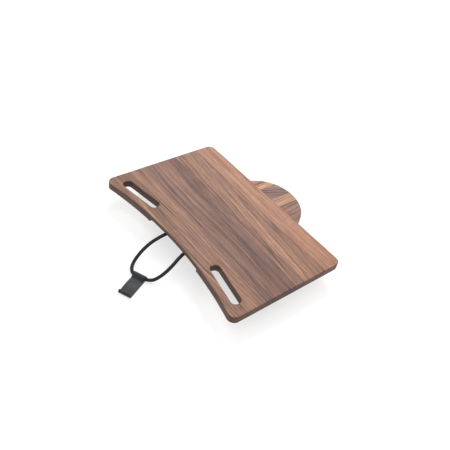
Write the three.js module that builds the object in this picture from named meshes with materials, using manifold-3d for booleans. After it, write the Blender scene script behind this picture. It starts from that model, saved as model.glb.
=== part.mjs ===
// Clip-on standing desk converter: a walnut board that sits over the back of a chair on two folding
// padded jaws, with a swing-out round tray and an elastic tie-down loop that ends in a hook strap.
// Millimetres, +Z up. The jaws stand on z = 0 and the origin is under the middle of the object's
// bounding box, without the tie-down. Inside `group`, y = 0 is the middle of the board's depth.
import * as THREE from 'three';
import { mergeVertices } from 'three/addons/utils/BufferGeometryUtils.js';
import Module from 'manifold-3d';

const wasm = await Module();
wasm.setup();

// ---- driving dimensions -----------------------------------------------------------------------
const GAP = 0.3;                 // air between pieces that touch
const BOARD_LENGTH = 600;
const BOARD_DEPTH = 397;
const BOARD_THICK = 24;
const BOARD_CORNER = 20;
const FRONT_SAG = 39;            // how far the concave front edge is scooped at its middle
const EDGE_ROUND = 2.5;
const UNDERSIDE_Z = 58;
const BOARD_CENTRE_Y = -54.1;    // puts the origin under the middle of the bounding box

const SLOT_LENGTH = 136;
const SLOT_WIDTH = 29;
const SLOT_CORNER = 12;
const SLOT_X = 198;
const SLOT_Y = -138;
const SLOT_TILT = 10.3;          // degrees, so that each hand slot follows the front edge

const CHANNEL_WIDTH = 220;
const CHANNEL_DEPTH = 10;
const CHANNEL_BACK_Y = 84;

const TRAY_RADIUS = 118;
const TRAY_THICK = 16;
const TRAY_X = -8;
const TRAY_Y = 183;
const TRAY_DROP = 2;             // air between the board and the tray, filled by the glide washer
const PIVOT_X = 74;
const PIVOT_Y = 160;
const PIVOT_BOLT_RADIUS = 4;
const PIVOT_BORE = PIVOT_BOLT_RADIUS + 0.4;  // running clearance round the bolt
const BUSH_RADIUS = 6;
const INSERT_LENGTH = 13;
const COUNTERBORE_RADIUS = 15;
const COUNTERBORE_DEPTH = 6;
const GLIDE_WASHER_RADIUS = 16;
const RETAINING_WASHER_RADIUS = 13;
const RETAINING_WASHER_THICK = 1.4;
const BOLT_HEAD_RADIUS = 9;
const BOLT_HEAD_THICK = 3.2;
const HEX_SOCKET_RADIUS = 2.9;

const PLATE_WIDTH = 208;
const PLATE_THICK = 2.7;
const PLATE_FRONT_Y = -126;
const PLATE_BACK_Y = 79;

const HINGE_Z = 58.5;
const FRONT_HINGE_Y = -76;
const REAR_HINGE_Y = 54;
const PIN_RADIUS = 3;
const BARREL_RADIUS = 6;
const JAW_HALF_WIDTH = 93;
const JAW_THICK = 4;
const JAW_CORNER = 26;
const TRIM_WALL = 3;
const TRIM_HEIGHT = 11;
const PAD_THICK = 4;
const PAD_LENGTH = 168;
const PAD_HEIGHT = 32;
const PAD_CENTRE_Z = 32;
const LUG_THICK = 5;
const LUG_RADIUS = 7.5;
const HEEL_BOTTOM_Z = 43.5;      // the heel that stops a jaw square to the board
const HEEL_TOP_Z = 48.5;
const HEEL_FRONT = 2.8;          // how far behind the pin the heel meets the blade
const HEEL_BACK = 7;
const FRICTION_WASHER_THICK = 1.9;
const WASHER_RADIUS = 5.6;
const PIN_BORE = PIN_RADIUS + 0.4;
const PIN_HEAD_RADIUS = 5.2;
const PIN_HEAD_THICK = 3.7;
const NUT_THICK = 4.7;

const FOOT_RADIUS = 9;
const FOOT_HEIGHT = 22;
const FOOT_X = 262;
const FOOT_FRONT_Y = -56;
const FOOT_REAR_Y = 160;
const FOOT_WELL_RADIUS = 5;
const FOOT_WELL_DEPTH = 10;
const SCREW_SHANK = 2;
const SCREW_HOLE = 2.3;
const PLATE_SCREW_HOLE = 2.4;
const PEG_RADIUS = 6.5;
const PEG_HEIGHT = 8;
const BUMPER_RADIUS = 7;
const BUMPER_HEIGHT = 13;

const CORD_DIAMETER = 10;
const CORD_X = 43;
const CORD_Z = 61;
const FERRULE_RADIUS = 6.6;
const FERRULE_LENGTH = 14;
const ANCHOR_WIDTH = 18;

const STRAP_WIDTH = 38;
const STRAP_EYE_RADIUS = 6.4;
const STRAP_BARREL_RADIUS = 7.5;
const STRAP_REACH = 70;                    // from the eye to the middle of the hook lip
const LIP_RADIUS = 6;
const STRAP_EYE = [14.6, -273, 7.5];       // middle of the cord where it passes through the strap
const STRAP_HEADING = -64.7;               // degrees, from the eye towards the hook lip

// ---- levels that follow from them -------------------------------------------------------------
const TOP_Z = UNDERSIDE_Z + BOARD_THICK;
const CEILING_Z = UNDERSIDE_Z + CHANNEL_DEPTH;
const PLATE_TOP_Z = CEILING_Z - GAP;
const PLATE_BOTTOM_Z = PLATE_TOP_Z - PLATE_THICK;
const TRAY_TOP_Z = UNDERSIDE_Z - TRAY_DROP;
const TRAY_BOTTOM_Z = TRAY_TOP_Z - TRAY_THICK;
const COUNTERBORE_Z = TRAY_BOTTOM_Z + COUNTERBORE_DEPTH;

const PLATE_SCREWS = [];
for (const y of [-117, -11, 71]) {
  for (const x of [-80, 0, 80]) PLATE_SCREWS.push([x, y]);
}
const FEET = [
  ['foot_front_left', -FOOT_X, FOOT_FRONT_Y],
  ['foot_front_right', FOOT_X, FOOT_FRONT_Y],
  ['foot_rear_left', -FOOT_X, FOOT_REAR_Y],
  ['foot_rear_right', FOOT_X, FOOT_REAR_Y],
];
const STOP_BUMPER = [-126, 140];
const PEG = [-122.5, -154];

// ---- materials --------------------------------------------------------------------------------
const material = (color, roughness, metalness) =>
  new THREE.MeshStandardMaterial({ color, roughness, metalness });
const walnut = () => material('#7d5a45', 0.5, 0);
const blackSteel = () => material('#26272a', 0.45, 0.6);
const zinc = () => material('#b9bcc0', 0.35, 0.9);
const brass = () => material('#b8954a', 0.35, 0.9);
const rubber = () => material('#1c1c1e', 0.8, 0);
const foam = () => material('#2d2e31', 0.95, 0);
const nylon = () => material('#e6e3da', 0.5, 0);

// ---- solids -----------------------------------------------------------------------------------
const group = new THREE.Group();
group.position.y = BOARD_CENTRE_Y;

function addPart(name, geometry, finish) {
  const mesh = new THREE.Mesh(geometry, finish);
  mesh.name = name;
  group.add(mesh);
}

function toSolid(geometry) {
  const bare = geometry.clone();
  bare.deleteAttribute('normal');
  bare.deleteAttribute('uv');
  const merged = mergeVertices(bare, 1e-4);
  return new wasm.Manifold(new wasm.Mesh({
    numProp: 3,
    vertProperties: new Float32Array(merged.attributes.position.array),
    triVerts: new Uint32Array(merged.index.array),
  }));
}

function toGeometry(solid) {
  const mesh = solid.getMesh();
  const geometry = new THREE.BufferGeometry();
  geometry.setAttribute('position', new THREE.BufferAttribute(mesh.vertProperties, 3));
  geometry.setIndex(new THREE.BufferAttribute(mesh.triVerts, 1));
  geometry.computeVertexNormals();
  return geometry;
}

function cut(body, ...tools) {
  return toGeometry(tools.reduce((left, tool) => left.subtract(toSolid(tool)), toSolid(body)));
}

function join(body, ...others) {
  return toGeometry(others.reduce((sum, other) => sum.add(toSolid(other)), toSolid(body)));
}

// A box between two corners.
function box(low, high) {
  const size = high.map((value, i) => value - low[i]);
  const geometry = new THREE.BoxGeometry(...size);
  return geometry.translate(...low.map((value, i) => value + size[i] / 2));
}

// An upright round bar from z = low to z = high.
function post(x, y, radius, low, high, sides = 24) {
  const geometry = new THREE.CylinderGeometry(radius, radius, high - low, sides);
  return geometry.rotateX(Math.PI / 2).translate(x, y, (low + high) / 2);
}

// A round bar along X between two x values.
function crossBar(y, z, radius, low, high, sides = 16) {
  const geometry = new THREE.CylinderGeometry(radius, radius, high - low, sides);
  return geometry.rotateZ(Math.PI / 2).translate((low + high) / 2, y, z);
}

// A ring standing along Z: a washer, bush or sleeve.
function ring(x, y, inner, outer, low, high, sides = 24) {
  return cut(post(x, y, outer, low, high, sides), post(x, y, inner, low - 1, high + 1, sides));
}

function roundedRect(width, height, radius) {
  const x = width / 2;
  const y = height / 2;
  const shape = new THREE.Shape();
  shape.moveTo(-x + radius, -y);
  shape.lineTo(x - radius, -y);
  shape.absarc(x - radius, -y + radius, radius, -Math.PI / 2, 0);
  shape.absarc(x - radius, y - radius, radius, 0, Math.PI / 2);
  shape.absarc(-x + radius, y - radius, radius, Math.PI / 2, Math.PI);
  shape.absarc(-x + radius, -y + radius, radius, Math.PI, Math.PI * 1.5);
  return shape;
}

function slab(shape, thickness, curveSegments = 6) {
  return new THREE.ExtrudeGeometry(shape, { depth: thickness, bevelEnabled: false, curveSegments });
}

// ---- board ------------------------------------------------------------------------------------
// The concave front is one arc through the two front corners.
function boardOutline() {
  const x = BOARD_LENGTH / 2;
  const y = BOARD_DEPTH / 2;
  const r = BOARD_CORNER;
  const arcRadius = (x * x + FRONT_SAG * FRONT_SAG) / (2 * FRONT_SAG);
  const arcCentreY = -y + FRONT_SAG - arcRadius;
  // A corner circle that touches the short edge and the front arc from outside it.
  const cornerX = x - r;
  const cornerY = arcCentreY + Math.sqrt((arcRadius + r) ** 2 - cornerX ** 2);
  const touch = Math.atan2(arcCentreY - cornerY, -cornerX);
  const shape = new THREE.Shape();
  shape.absarc(cornerX, cornerY, r, touch, 0);
  shape.absarc(x - r, y - r, r, 0, Math.PI / 2);
  shape.absarc(-x + r, y - r, r, Math.PI / 2, Math.PI);
  shape.absarc(-cornerX, cornerY, r, Math.PI, 2 * Math.PI - (Math.PI + touch));
  const edge = Math.atan2(cornerY - arcCentreY, cornerX);
  shape.absarc(0, arcCentreY, arcRadius, Math.PI - edge, edge, true);
  return shape;
}

function handSlot(side) {
  const slot = slab(roundedRect(SLOT_LENGTH, SLOT_WIDTH, SLOT_CORNER), BOARD_THICK + 4);
  slot.rotateZ(-side * SLOT_TILT * Math.PI / 180);
  return slot.translate(side * SLOT_X, SLOT_Y, UNDERSIDE_Z - 2);
}

function topBoard() {
  const body = new THREE.ExtrudeGeometry(boardOutline(), {
    depth: BOARD_THICK - 2 * EDGE_ROUND,
    bevelThickness: EDGE_ROUND,
    bevelSize: EDGE_ROUND,
    bevelOffset: -EDGE_ROUND,
    bevelSegments: 2,
    curveSegments: 8,
  }).translate(0, 0, UNDERSIDE_Z + EDGE_ROUND);
  const halfChannel = CHANNEL_WIDTH / 2;
  const tools = [
    box([-halfChannel, -BOARD_DEPTH, UNDERSIDE_Z - 5], [halfChannel, CHANNEL_BACK_Y, CEILING_Z]),
    handSlot(1),
    handSlot(-1),
    post(PIVOT_X, PIVOT_Y, BUSH_RADIUS + GAP, UNDERSIDE_Z - 1, UNDERSIDE_Z + INSERT_LENGTH + 1),
  ];
  for (const [x, y] of PLATE_SCREWS) tools.push(post(x, y, SCREW_HOLE, CEILING_Z - 1, CEILING_Z + 9, 8));
  for (const [, x, y] of FEET) tools.push(post(x, y, SCREW_HOLE, UNDERSIDE_Z - 1, UNDERSIDE_Z + 14, 8));
  return cut(body, ...tools);
}
addPart('top_board', topBoard(), walnut());

// ---- swing-out tray and its pivot -------------------------------------------------------------
addPart('swing_tray', cut(
  post(TRAY_X, TRAY_Y, TRAY_RADIUS, TRAY_BOTTOM_Z, TRAY_TOP_Z, 72),
  post(PIVOT_X, PIVOT_Y, BUSH_RADIUS + GAP, TRAY_BOTTOM_Z - 1, TRAY_TOP_Z + 1),
  post(PIVOT_X, PIVOT_Y, COUNTERBORE_RADIUS, TRAY_BOTTOM_Z - 1, COUNTERBORE_Z),
), walnut());

function pivotRing(name, outer, low, high, finish) {
  addPart(name, ring(PIVOT_X, PIVOT_Y, PIVOT_BORE, outer, low, high), finish);
}
const retainingTopZ = COUNTERBORE_Z - GAP;
pivotRing('tray_threaded_insert', BUSH_RADIUS, UNDERSIDE_Z + 0.2, UNDERSIDE_Z + INSERT_LENGTH, brass());
pivotRing('tray_glide_washer', GLIDE_WASHER_RADIUS, TRAY_TOP_Z + GAP, UNDERSIDE_Z - GAP, nylon());
pivotRing('tray_bush', BUSH_RADIUS, COUNTERBORE_Z, TRAY_TOP_Z, brass());
pivotRing('tray_retaining_washer', RETAINING_WASHER_RADIUS,
  retainingTopZ - RETAINING_WASHER_THICK, retainingTopZ, zinc());

const boltHeadTopZ = retainingTopZ - RETAINING_WASHER_THICK - GAP;
const boltHeadBottomZ = boltHeadTopZ - BOLT_HEAD_THICK;
addPart('tray_pivot_bolt', cut(
  join(
    post(PIVOT_X, PIVOT_Y, PIVOT_BOLT_RADIUS, boltHeadBottomZ + 1, UNDERSIDE_Z + INSERT_LENGTH - 1),
    post(PIVOT_X, PIVOT_Y, BOLT_HEAD_RADIUS, boltHeadBottomZ, boltHeadTopZ),
  ),
  post(PIVOT_X, PIVOT_Y, HEX_SOCKET_RADIUS, boltHeadBottomZ - 1, boltHeadBottomZ + 2.2, 6),
), zinc());
addPart('tray_stop_bumper',
  post(...STOP_BUMPER, BUMPER_RADIUS, UNDERSIDE_Z - BUMPER_HEIGHT, UNDERSIDE_Z - GAP), rubber());

// ---- feet and the strap's parking peg, under the board ----------------------------------------
function screw(x, y, headZ, headRadius, headHeight, tipZ) {
  return join(
    post(x, y, headRadius, headZ, headZ + headHeight, 16),
    post(x, y, SCREW_SHANK, headZ + headHeight / 2, tipZ, 8),
  );
}

for (const [name, x, y] of FEET) {
  const bottom = UNDERSIDE_Z - FOOT_HEIGHT;
  addPart(name, cut(
    post(x, y, FOOT_RADIUS, bottom, UNDERSIDE_Z - GAP),
    post(x, y, FOOT_WELL_RADIUS, bottom - 1, bottom + FOOT_WELL_DEPTH, 16),
    post(x, y, SCREW_HOLE, bottom, UNDERSIDE_Z, 8),
  ), rubber());
  addPart(name.replace('foot', 'foot_screw'),
    screw(x, y, bottom + 7, 4.2, 2.7, UNDERSIDE_Z + 12), zinc());
}
addPart('strap_peg', post(...PEG, PEG_RADIUS, UNDERSIDE_Z - PEG_HEIGHT, UNDERSIDE_Z - GAP), rubber());

// ---- saddle plate in the channel --------------------------------------------------------------
const plateHoles = PLATE_SCREWS.map(
  ([x, y]) => post(x, y, PLATE_SCREW_HOLE, PLATE_BOTTOM_Z - 1, PLATE_TOP_Z + 1, 8),
);
addPart('saddle_plate', cut(
  slab(roundedRect(PLATE_WIDTH, PLATE_BACK_Y - PLATE_FRONT_Y, 8), PLATE_THICK)
    .translate(0, (PLATE_BACK_Y + PLATE_FRONT_Y) / 2, PLATE_BOTTOM_Z),
  ...plateHoles,
), blackSteel());
PLATE_SCREWS.forEach(([x, y], i) => {
  addPart(`plate_screw_${i + 1}`, screw(x, y, PLATE_BOTTOM_Z - 2.4, 4, 2.1, CEILING_Z + 8), zinc());
});

// ---- folding jaws -----------------------------------------------------------------------------
// `inward` is +1 where the middle of the saddle is towards +Y from the hinge, and -1 where it is not.
function jawOutline(halfWidth, bottomZ, corner) {
  const shape = new THREE.Shape();
  shape.moveTo(halfWidth, HINGE_Z);
  shape.lineTo(-halfWidth, HINGE_Z);
  shape.lineTo(-halfWidth, bottomZ + corner);
  shape.absarc(-halfWidth + corner, bottomZ + corner, corner, Math.PI, Math.PI * 1.5);
  shape.absarc(halfWidth - corner, bottomZ + corner, corner, -Math.PI / 2, 0);
  return shape;
}

// A sheet standing in the X-Z plane, centred on y.
function standingSheet(shape, thickness, y, curveSegments = 6) {
  return slab(shape, thickness, curveSegments).rotateX(Math.PI / 2).translate(0, y + thickness / 2, 0);
}

function jawBlade(hingeY) {
  const outline = jawOutline(JAW_HALF_WIDTH, TRIM_WALL + GAP, JAW_CORNER);
  return cut(
    join(
      standingSheet(outline, JAW_THICK, hingeY),
      crossBar(hingeY, HINGE_Z, BARREL_RADIUS, -JAW_HALF_WIDTH, JAW_HALF_WIDTH, 20),
    ),
    crossBar(hingeY, HINGE_Z, PIN_BORE, -JAW_HALF_WIDTH - 1, JAW_HALF_WIDTH + 1),
  );
}

function jawTrim(hingeY) {
  const outer = jawOutline(JAW_HALF_WIDTH + TRIM_WALL, 0, JAW_CORNER + TRIM_WALL);
  const inner = jawOutline(JAW_HALF_WIDTH + GAP, TRIM_WALL, JAW_CORNER + GAP);
  const halfWidth = JAW_HALF_WIDTH + 10;
  return cut(
    standingSheet(outer, JAW_THICK + 4, hingeY),
    standingSheet(inner, JAW_THICK + 2 * GAP, hingeY),
    box([-halfWidth, hingeY - 10, TRIM_HEIGHT], [halfWidth, hingeY + 10, HINGE_Z + 10]),
  );
}

function jawPad(hingeY, inward) {
  const faceY = hingeY + inward * (JAW_THICK / 2 + GAP + PAD_THICK / 2);
  const pad = standingSheet(roundedRect(PAD_LENGTH, PAD_HEIGHT, 8), PAD_THICK, faceY);
  return pad.translate(0, 0, PAD_CENTRE_Z);
}

// An ear that carries the pin, with a heel that stops the jaw from opening outward.
function hingeLug(side, hingeY, inward) {
  const inner = JAW_HALF_WIDTH + FRICTION_WASHER_THICK + 2 * GAP;
  const ear = new THREE.Shape();
  ear.moveTo(-11, PLATE_BOTTOM_Z - GAP);
  ear.lineTo(-9, HEEL_BOTTOM_Z);
  ear.lineTo(-HEEL_FRONT, HEEL_BOTTOM_Z);
  ear.lineTo(-HEEL_FRONT, HINGE_Z - 8);
  ear.absarc(0, HINGE_Z - 1, LUG_RADIUS, -Math.PI / 2, 0);
  ear.lineTo(11, PLATE_BOTTOM_Z - GAP);
  const plate = slab(ear, LUG_THICK);
  // The ear is drawn with its own x across the hinge: stand it up, with that x towards `inward`.
  plate.applyMatrix4(new THREE.Matrix4().set(
    0, 0, inward, 0,
    inward, 0, 0, 0,
    0, 1, 0, 0,
    0, 0, 0, 1,
  ));
  const x = side > 0 ? inner : -inner - LUG_THICK;
  plate.translate(inward > 0 ? x : x + LUG_THICK, hingeY, 0);
  const heelY = [hingeY - inward * HEEL_FRONT, hingeY - inward * HEEL_BACK].sort((a, b) => a - b);
  const heelX = [side * (inner - 7), side * (inner + 2)].sort((a, b) => a - b);
  const heel = box([heelX[0], heelY[0], HEEL_BOTTOM_Z], [heelX[1], heelY[1], HEEL_TOP_Z]);
  return cut(join(plate, heel),
    crossBar(hingeY, HINGE_Z, PIN_BORE, Math.min(...heelX) - 9, Math.max(...heelX) + 9));
}

function hingeHardware(prefix, hingeY, inward) {
  const lugInner = JAW_HALF_WIDTH + FRICTION_WASHER_THICK + 2 * GAP;
  const lugOuter = lugInner + LUG_THICK;
  for (const [word, side] of [['left', -1], ['right', 1]]) {
    addPart(`${prefix}_lug_${word}`, hingeLug(side, hingeY, inward), blackSteel());
    const low = side > 0 ? JAW_HALF_WIDTH + GAP : -lugInner + GAP;
    const high = side > 0 ? lugInner - GAP : -JAW_HALF_WIDTH - GAP;
    addPart(`${prefix}_friction_washer_${word}`, cut(
      crossBar(hingeY, HINGE_Z, WASHER_RADIUS, low, high, 20),
      crossBar(hingeY, HINGE_Z, PIN_BORE, low - 1, high + 1),
    ), nylon());
  }
  addPart(`${prefix}_hinge_pin`, join(
    crossBar(hingeY, HINGE_Z, PIN_RADIUS, -lugOuter - 1, lugOuter + NUT_THICK + 0.8),
    crossBar(hingeY, HINGE_Z, PIN_HEAD_RADIUS, -lugOuter - GAP - PIN_HEAD_THICK, -lugOuter - GAP),
  ), zinc());
  addPart(`${prefix}_hinge_nut`, cut(
    crossBar(hingeY, HINGE_Z, WASHER_RADIUS, lugOuter + GAP, lugOuter + GAP + NUT_THICK, 6),
    crossBar(hingeY, HINGE_Z, PIN_BORE, lugOuter, lugOuter + NUT_THICK + 1),
  ), zinc());
  addPart(`${prefix}_jaw`, jawBlade(hingeY), blackSteel());
  addPart(`${prefix}_jaw_pad`, jawPad(hingeY, inward), foam());
  addPart(`${prefix}_jaw_trim`, jawTrim(hingeY), rubber());
}
hingeHardware('front', FRONT_HINGE_Y, 1);
hingeHardware('rear', REAR_HINGE_Y, -1);

// ---- elastic tie-down: anchors, ferrules, cord and hook strap ---------------------------------
const anchorFrontY = PLATE_FRONT_Y - 1;
const ferruleMiddleY = anchorFrontY - GAP - FERRULE_LENGTH / 2;
for (const [word, side] of [['left', -1], ['right', 1]]) {
  const x = side * CORD_X;
  addPart(`cord_anchor_${word}`,
    box([x - ANCHOR_WIDTH / 2, anchorFrontY, CORD_Z - 7.5],
      [x + ANCHOR_WIDTH / 2, anchorFrontY + ANCHOR_WIDTH, PLATE_BOTTOM_Z - GAP]),
    blackSteel());
  const ferrule = new THREE.CylinderGeometry(FERRULE_RADIUS, FERRULE_RADIUS, FERRULE_LENGTH, 16);
  addPart(`cord_ferrule_${word}`, ferrule.translate(x, ferruleMiddleY, CORD_Z), zinc());
}

const CORD_ROUTE = [
  [-43, -141.6, 61], [-43, -158, 60.5], [-43.5, -181, 56], [-44.5, -203, 47.5], [-43.5, -225, 35.5],
  [-40.5, -244, 22.5], [-34, -261, 12.5], [-21.5, -275, 8], [-3.9, -281.8, 7.5], [14.6, -273, 7.5],
  [33.1, -264.3, 7.5], [45.5, -252.5, 11], [53, -236.5, 22], [56, -218, 35.5], [54, -197.5, 47.5],
  [48.5, -177, 56], [43.8, -158, 60.5], [43, -141.6, 61],
];
const cordPoints = CORD_ROUTE.map((point) => new THREE.Vector3(...point));
const cordCurve = new THREE.CatmullRomCurve3(cordPoints, false, 'centripetal');
const cordSection = new THREE.Shape();
cordSection.absarc(0, 0, CORD_DIAMETER / 2, 0, Math.PI * 2);
addPart('elastic_cord', new THREE.ExtrudeGeometry(cordSection, {
  steps: 30,
  curveSegments: 5,
  extrudePath: cordCurve,
}), rubber());

// The strap's side view: x runs from the eye to the lip, y is up.
function hookStrap() {
  const side = new THREE.Shape();
  const lipZ = LIP_RADIUS - STRAP_BARREL_RADIUS;
  side.moveTo(-4, -STRAP_BARREL_RADIUS);
  side.lineTo(STRAP_REACH, -STRAP_BARREL_RADIUS);
  side.absarc(STRAP_REACH, lipZ, LIP_RADIUS, -Math.PI / 2, Math.PI * 0.75);
  side.lineTo(STRAP_REACH - 9, -2.6);
  side.lineTo(12, -2.2);
  side.absarc(0, 0, STRAP_BARREL_RADIUS, 0.1, Math.PI * 1.25);
  const eye = new THREE.Path();
  eye.absarc(0, 0, STRAP_EYE_RADIUS, 0, Math.PI * 2);
  side.holes.push(eye);
  const strap = slab(side, STRAP_WIDTH, 8);
  strap.rotateX(Math.PI / 2).translate(0, STRAP_WIDTH / 2, 0);
  strap.rotateZ(STRAP_HEADING * Math.PI / 180);
  return strap.translate(...STRAP_EYE);
}
addPart('strap_hook', hookStrap(), rubber());

export default group;
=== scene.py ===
"""Looks for the clip-on standing desk converter: walnut board, swing-out tray, folding jaws and
elastic tie-down. Metres, in the CAD model's frame, +Z up, +Y away from the user."""
import math

import bmesh
import bpy
from mathutils import Matrix, Vector


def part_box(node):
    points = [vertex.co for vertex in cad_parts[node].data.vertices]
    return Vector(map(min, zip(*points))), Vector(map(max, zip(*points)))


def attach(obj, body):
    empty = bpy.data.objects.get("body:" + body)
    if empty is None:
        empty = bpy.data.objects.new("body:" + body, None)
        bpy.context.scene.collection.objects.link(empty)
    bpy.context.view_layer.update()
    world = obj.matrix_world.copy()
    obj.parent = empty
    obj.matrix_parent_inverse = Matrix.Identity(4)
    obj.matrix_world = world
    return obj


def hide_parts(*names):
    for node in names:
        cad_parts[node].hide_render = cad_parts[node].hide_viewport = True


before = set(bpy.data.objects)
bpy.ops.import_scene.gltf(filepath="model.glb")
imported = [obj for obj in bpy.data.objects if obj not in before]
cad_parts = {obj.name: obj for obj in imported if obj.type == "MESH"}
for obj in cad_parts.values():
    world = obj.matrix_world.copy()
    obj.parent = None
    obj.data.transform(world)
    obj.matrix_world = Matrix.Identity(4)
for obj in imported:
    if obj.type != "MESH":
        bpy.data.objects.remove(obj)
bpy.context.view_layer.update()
MM = 0.001

# ---- places worked out from the frame ------------------------------------------------------------
BOARD_LOW, BOARD_HIGH = (Vector(corner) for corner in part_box("top_board"))
TRAY_LOW, TRAY_HIGH = (Vector(corner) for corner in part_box("swing_tray"))
PLATE_LOW, PLATE_HIGH = (Vector(corner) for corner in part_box("saddle_plate"))
BOLT_LOW, BOLT_HIGH = (Vector(corner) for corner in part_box("tray_pivot_bolt"))

BOARD_DEPTH = 0.397
BOARD_CENTRE = Vector((0, BOARD_HIGH.y - BOARD_DEPTH / 2, 0))
BOARD_THICK = BOARD_HIGH.z - BOARD_LOW.z
BOARD_CORNER = 0.020
FRONT_SAG = 0.039                          # how far the front edge curves in at its middle
EDGE_ROUND = 0.0030
CHANNEL_WIDTH = 0.220                      # the recess in the underside, open at the front
CHANNEL_DEPTH = 0.010
CHANNEL_BACK = BOARD_CENTRE.y + 0.084
SLOT_SIZE = (0.136, 0.029)
SLOT_CORNER = 0.012
SLOT_PLACE = (0.198, BOARD_CENTRE.y - 0.138)
SLOT_TILT = math.radians(10.3)

TRAY_RADIUS = (TRAY_HIGH.x - TRAY_LOW.x) / 2
TRAY_CENTRE = (TRAY_LOW + TRAY_HIGH) / 2
PIVOT = (BOLT_LOW + BOLT_HIGH) / 2

CORD_DIAMETER = 0.010
# Where the cord lies, in millimetres, with y from the middle of the board's depth.
CORD_ROUTE_MM = [
    (-43, -141.6, 61), (-43, -158, 60.5), (-43.5, -181, 56), (-44.5, -203, 47.5), (-43.5, -225, 35.5),
    (-40.5, -244, 22.5), (-34, -261, 12.5), (-21.5, -275, 8), (-3.9, -281.8, 7.5), (14.6, -273, 7.5),
    (33.1, -264.3, 7.5), (45.5, -252.5, 11), (53, -236.5, 22), (56, -218, 35.5), (54, -197.5, 47.5),
    (48.5, -177, 56), (43.8, -158, 60.5), (43, -141.6, 61),
]
CORD_ROUTE = [Vector(p) * MM + BOARD_CENTRE for p in CORD_ROUTE_MM]
STRAP_EYE = CORD_ROUTE[9]

OVERSHOOT = 0.01                           # how far a cutting shape runs past what it cuts
ALONG_X = Matrix.Rotation(math.pi / 2, 4, "Y")
ALONG_Y = Matrix.Rotation(-math.pi / 2, 4, "X")
UPRIGHT = Matrix.Rotation(math.pi / 2, 4, "X")


# ---- camera --------------------------------------------------------------------------------------
CAMERA_FROM_BOARD_TOP = Vector((0.88698, -0.93590, 1.14937))
CAMERA_AZIMUTH = math.radians(42.708)
CAMERA_ELEVATION = math.radians(42.095)
CAMERA_ROLL = math.radians(13.003)
CAMERA_LENS_MM = 48.51


def add_camera():
    data = bpy.data.cameras.new("camera")
    data.lens = CAMERA_LENS_MM
    camera = bpy.data.objects.new("camera", data)
    bpy.context.scene.collection.objects.link(camera)
    swing = Matrix.Rotation(CAMERA_AZIMUTH, 4, "Z")
    tilt = Matrix.Rotation(math.pi / 2 - CAMERA_ELEVATION, 4, "X")
    roll = Matrix.Rotation(CAMERA_ROLL, 4, "Z")
    place = Vector((0, BOARD_CENTRE.y, BOARD_HIGH.z)) + CAMERA_FROM_BOARD_TOP
    camera.matrix_world = Matrix.Translation(place) @ swing @ tilt @ roll
    bpy.context.scene.camera = camera


add_camera()


# ---- placing pieces ------------------------------------------------------------------------------
BEVEL_SEGMENTS = 3
SHARP_WHEN_BEVELLED = 60                   # degrees


def middle_of(node):
    low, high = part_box(node)
    return (Vector(low) + Vector(high)) / 2


def span_of(node):
    low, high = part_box(node)
    return Vector(high) - Vector(low)


def add_part(node, mesh, material, body="board", bevel=0.0, smooth=40, name=None):
    """Puts a mesh in the scene, rounds its edges, and lets it ride on a body in place of a CAD node.
    Edges are rounded, or without a bevel kept sharp, where they turn by more than smooth degrees."""
    piece = bpy.data.objects.new(name or node + "_finish", mesh)
    bpy.context.scene.collection.objects.link(piece)
    mesh.materials.clear()
    mesh.materials.append(material)
    finish_surface(piece, bevel, smooth)
    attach(piece, body)
    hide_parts(node)
    return piece


def finish_surface(piece, bevel, smooth):
    if bevel:
        rounding = piece.modifiers.new("edge rounding", "BEVEL")
        rounding.width = bevel
        rounding.segments = BEVEL_SEGMENTS
        rounding.limit_method = "ANGLE"
        rounding.angle_limit = math.radians(smooth)
    for polygon in piece.data.polygons:
        polygon.use_smooth = True
    if smooth:
        sharp = SHARP_WHEN_BEVELLED if bevel else smooth
        piece.data.set_sharp_from_angle(angle=math.radians(sharp))
        piece.modifiers.new("even shading", "WEIGHTED_NORMAL").keep_sharp = True


# ---- mesh helpers --------------------------------------------------------------------------------
CORNER_STEPS = 10
SHORTEST_MITRE = 0.5                       # limits how far inset() reaches at a sharp corner


def baked(piece):
    """The piece's mesh with its modifiers applied; the piece itself is removed."""
    bpy.context.view_layer.update()
    evaluated = piece.evaluated_get(bpy.context.evaluated_depsgraph_get())
    mesh = bpy.data.meshes.new_from_object(evaluated)
    bpy.data.objects.remove(piece)
    return mesh


def loose(mesh):
    piece = bpy.data.objects.new("work", mesh)
    bpy.context.scene.collection.objects.link(piece)
    return piece


def combine(mesh, others, operation="DIFFERENCE"):
    """Cuts the other meshes from the first, or joins them to it."""
    body = loose(mesh)
    tools = [loose(other) for other in others]
    for tool in tools:
        boolean = body.modifiers.new("boolean", "BOOLEAN")
        boolean.operation = operation
        boolean.solver = "EXACT"
        boolean.object = tool
    result = baked(body)
    for tool in tools:
        bpy.data.objects.remove(tool)
    return result


def from_bmesh(bm):
    bmesh.ops.recalc_face_normals(bm, faces=bm.faces)
    mesh = bpy.data.meshes.new("mesh")
    bm.to_mesh(mesh)
    bm.free()
    return mesh


def box_mesh(low, high):
    bm = bmesh.new()
    bmesh.ops.create_cube(bm, size=1)
    size = Vector(high) - Vector(low)
    middle = (Vector(high) + Vector(low)) / 2
    place = Matrix.Translation(middle) @ Matrix.Diagonal((*size, 1))
    bmesh.ops.transform(bm, matrix=place, verts=bm.verts)
    return from_bmesh(bm)


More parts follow.
